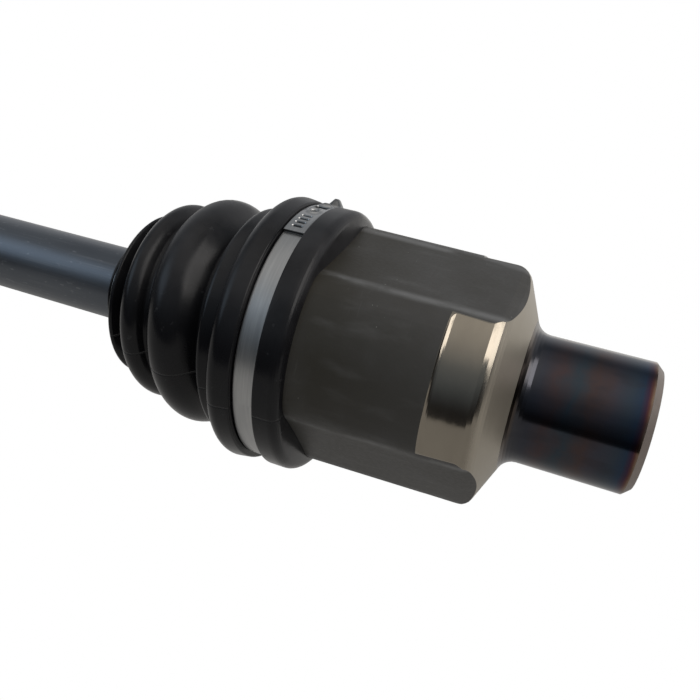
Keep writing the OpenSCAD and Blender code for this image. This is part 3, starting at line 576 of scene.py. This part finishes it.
def windows(degrees, across):
    """Two slots sunk through the lap, with a hook that rises beyond each slot's far edge and falls
    off to both sides of the band."""
    along = degrees - 360
    slot = (np.abs(across) < 2.3) * ((np.abs(along - 75.4) < 2.8) | (np.abs(along - 66.2) < 2.4))
    middle = np.clip(1.25 - np.abs(across) / 2.4, 0, 1)
    hooks = 1.2 * np.exp(-((along - 70.6) / 1.2) ** 4) + 3.3 * np.exp(-((along - 58.6) / 3.6) ** 4)
    return hooks * middle - 0.95 * slot


def ticks(degrees, across):
    """A row of short plain bars with round ends, pressed across the lap near its end."""
    beyond = np.clip(np.abs(across) - tick_half, 0, None)
    away = [np.hypot(np.radians(degrees - 360 - place) * band_r, beyond) for place in tick_angles]
    return -0.4 * (np.minimum.reduce(away) < tick_r)


strap("inboard_large_band", groove_x - 0.15 - band_w, band_w, band_r, band_t,
      53, 360 + 103, 360 + 44, "inboard", "inboard_large_clamp", (dimple, windows, ticks))

small_band_r, ear_h, ear_half = 17.65, 3.2, 8.0


def ear(degrees, across, place=330):
    """A pinched ear: at a place in degrees the strap rises in a smooth, flat-topped hump."""
    return ear_h * np.exp(-((degrees - place) / ear_half) ** 4) + 0 * across


strap("inboard_small_band", small_start_x - 7.35, 6.0, small_band_r, 0.8, 0, 360, 400, "bar",
      "inboard_small_clamp", (ear,))


# Every other CAD piece keeps its exact shape and gets its own finish: ground bearing parts, turned
# parts, oiled spring rings and the plated plug.
def paint_ground(t):
    """Bright bearing steel with the grinder's fine rings."""
    spot = place_in_mm(t)[0]
    haze = noise(t, spot, 6, 3)
    lines = noise(t, spot, 0.3, 2, (1, 20, 20))
    return {"Base Color": haze.blend((0.42, 0.42, 0.44), (0.56, 0.56, 0.57)),
            "Roughness": haze * 0.06 + lines * 0.05 + 0.08, "Normal": bump(t, lines, 0.005)}


def paint_turned(t):
    """Grey steel with the lathe's rings."""
    spot = place_in_mm(t)[0]
    haze = noise(t, spot, 5, 4)
    lines = noise(t, spot, 0.4, 2, (1, 30, 30))
    return {"Base Color": haze.blend((0.26, 0.26, 0.26), (0.4, 0.4, 0.4)),
            "Roughness": haze * 0.12 + lines * 0.1 + 0.2, "Normal": bump(t, lines, 0.01)}


def paint_spring(t):
    """Dark spring steel under uneven oil."""
    spot = place_in_mm(t)[0]
    oil = noise(t, spot, 3, 4)
    return {"Base Color": oil.blend((0.045, 0.045, 0.05), (0.11, 0.11, 0.115)),
            "Roughness": oil * 0.2 + 0.22, "Normal": bump(t, oil, 0.01)}


def paint_plated(t):
    """Yellowish zinc with a soft spangle."""
    spot = place_in_mm(t)[0]
    spangle = noise(t, spot, 2.5, 4)
    return {"Base Color": spangle.blend((0.4, 0.36, 0.25), (0.5, 0.48, 0.38)),
            "Roughness": spangle * 0.2 + 0.22, "Normal": bump(t, spangle, 0.01)}


bell_face_x = -501.0
seat_from_x, seat_low_r, seat_high_r = -461, 39, 40.2


def paint_bell(t):
    """Grey forged skin, ground bright beyond the bell's end face and on the boot's seat."""
    spot, x, _, _, r = place_in_mm(t)
    clouds = noise(t, spot, 22, 4)
    fine = noise(t, spot, 1.1, 5)
    lines = noise(t, spot, 0.5, 2, (1, 40, 40))
    seat = (x > seat_from_x) * (r > seat_low_r) * (r < seat_high_r)
    ground = (x < bell_face_x + 0.2).above(seat)
    grey = clouds.blend((0.035, 0.036, 0.034), (0.055, 0.056, 0.052))
    forged = (fine.rise(0.5, 0.9) * 0.35).blend(grey, (0.1, 0.1, 0.098))
    steel = clouds.blend((0.24, 0.24, 0.24), (0.33, 0.33, 0.33))
    return {"Base Color": ground.blend(forged, steel), "Metallic": ground * 0.9 + 0.05,
            "Roughness": (fine * 0.16 + 0.36) * (1 - ground) + (clouds * 0.1 + 0.16) * ground,
            "Normal": bump(t, (fine + clouds) * (1 - ground) + lines * 0.1 * ground, 0.05)}


ground_steel = finish("ground_bearing_steel", paint_ground, Metallic=1.0)
turned_steel = finish("turned_steel", paint_turned, Metallic=1.0)
spring_steel = finish("oiled_spring_steel", paint_spring, Metallic=0.9)
plated_steel = finish("zinc_plated_steel", paint_plated, Metallic=1.0)
bell_steel = finish("forged_and_ground_steel", paint_bell)
slot_finish = {"bearing_steel": ground_steel, "machined_steel": turned_steel, "spring_steel": spring_steel,
               "plated_plug": plated_steel, "bell_forging": bell_steel}
for part in frame["record"]["subparts"]:
    if part["material_slot"] in slot_finish:
        nodes[part["node"]].data.materials.clear()
        nodes[part["node"]].data.materials.append(slot_finish[part["material_slot"]])


# Outboard boot and its large clamp, on the bell's seat. The boot is the same elastomer, with five folds
# that grow towards the bell, and its other end is clamped on the bar.
bell_mouth_x = -447.0
bell_seat_r = 40.05
outboard_groove_r = 41.6
folds_l, fold_count = 62.0, 5
fold_first_r, fold_last_r, fold_depth = 28.0, 43.0, 10.5
valley_fillet, crest_fillet = 2.2, 2.6
outboard_start = bell_mouth_x + 4
outboard_end = outboard_start + folds_l
collar_start = outboard_end + 4
collar_end = collar_start + 8.4
bell_folds = [(bell_mouth_x + 0.2, outboard_groove_r - 2, 0), (outboard_start, outboard_groove_r - 2, 2)]
for i in range(fold_count):
    for half, fillet in ((0, valley_fillet), (1, crest_fillet)):
        crest = fold_last_r + (fold_first_r - fold_last_r) * (i + half * 0.5) / (fold_count - 1)
        fold_x = outboard_start + folds_l * (i + 0.35 + half * 0.5) / fold_count
        bell_folds.append((fold_x, crest if half else crest - fold_depth, fillet))
bell_folds += [(outboard_end + 2, small_collar_r, 1.5), (outboard_end + 8, small_collar_r, 0)]
seat_end = bell_mouth_x - groove_w - 3.4
outside = [(seat_end, bell_seat_r), (seat_end, outboard_groove_r + 1.4, 0.5),
           (seat_end + 1.4, outboard_groove_r + 1.4, 0.5), (seat_end + 1.4, outboard_groove_r, 0.2),
           (seat_end + 1.4 + groove_w, outboard_groove_r, 0.2),
           (seat_end + 1.4 + groove_w, outboard_groove_r + 2.9, 0.8),
           (outboard_start, outboard_groove_r + 2.9, 2), *bell_folds[2:-1],
           (collar_start + 0.6, small_collar_r, 0), (collar_start + 0.6, small_groove_r, 0.2),
           (collar_end - 0.9, small_groove_r, 0.2), (collar_end - 0.9, small_collar_r, 0.3),
           (collar_end, small_collar_r, 0.4), (collar_end, bar_r + 0.1)]
mirror = np.array([-1, 1, 1])
inside = [(-bell_mouth_x - 0.2, bell_seat_r), (-bell_mouth_x - 0.2, outboard_groove_r - 4, 1),
          *inset(np.array(bell_folds) * mirror, boot_wall), (-collar_start, bar_r + 0.1)]
inside_line = rounded(inside) * [-1, 1]
bell_boot = turned("outboard_boot_moulding", np.vstack([rounded(outside), inside_line[::-1]]))
bell_boot.data.materials.append(rubber)
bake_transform(bell_boot)
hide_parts("outboard_boot")

strap("outboard_large_band", bell_mouth_x - 2.2 - band_w, band_w, outboard_band_r, band_t,
      53, 360 + 103, 360 + 44, "bell", "outboard_large_clamp", (dimple, windows, ticks))


# Outboard thread. Rolled on the end of the bell's stub for the hub nut, 22 mm across with a 1.5 mm
# pitch, in bare machined steel. It lies on the stub's plain root.
thread_start_x, thread_end_x = -547.0, -568.6
thread_root_r, thread_tip_r, thread_pitch = 10.25, 11.0, 1.5


def helix_grid(x, turn):
    """The radius is a triangle wave, with flats at root and tip, of x in pitches less the turns made, and
    it fades into the root at both ends."""
    wave = np.abs((x / thread_pitch - turn / (2 * np.pi)) % 1 * 2 - 1)
    fade = np.clip(np.minimum(thread_start_x - x, x - thread_end_x) / thread_pitch, 0, 1)
    r = thread_root_r + (thread_tip_r - thread_root_r) * np.clip(wave * 1.25 - 0.12, 0, 1) * fade
    return np.stack([x + 0 * turn, r * np.cos(turn), r * np.sin(turn)], -1) / 1000


along, turn = np.meshgrid(np.linspace(thread_start_x, thread_end_x, 174),
                          np.linspace(0, 2 * np.pi, 48, endpoint=False), indexing="ij")
threads = helix_grid(along, turn)
middle = threads.mean(1, keepdims=True)
threads = np.concatenate([middle[:1] + 0 * threads[:1], threads, middle[-1:] + 0 * threads[-1:]])
nut_thread = grid_piece("outboard_nut_thread", threads, False, True, 40)
nut_thread.data.materials.append(turned_steel)
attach(nut_thread, "bell")


# Outboard small clamp. The same thin stainless strap as on the inboard boot's small collar, pinched
# tight round the bar, with its ear at the top.
def top_ear(degrees, across):
    """The pinched ear, at the top of the shaft."""
    return ear(degrees, across, 90)


strap("outboard_small_band", collar_end - 1.2 - 6, 6.0, small_band_r, 0.8, 0, 360, 400, "bar",
      "outboard_small_clamp", (top_ear,))
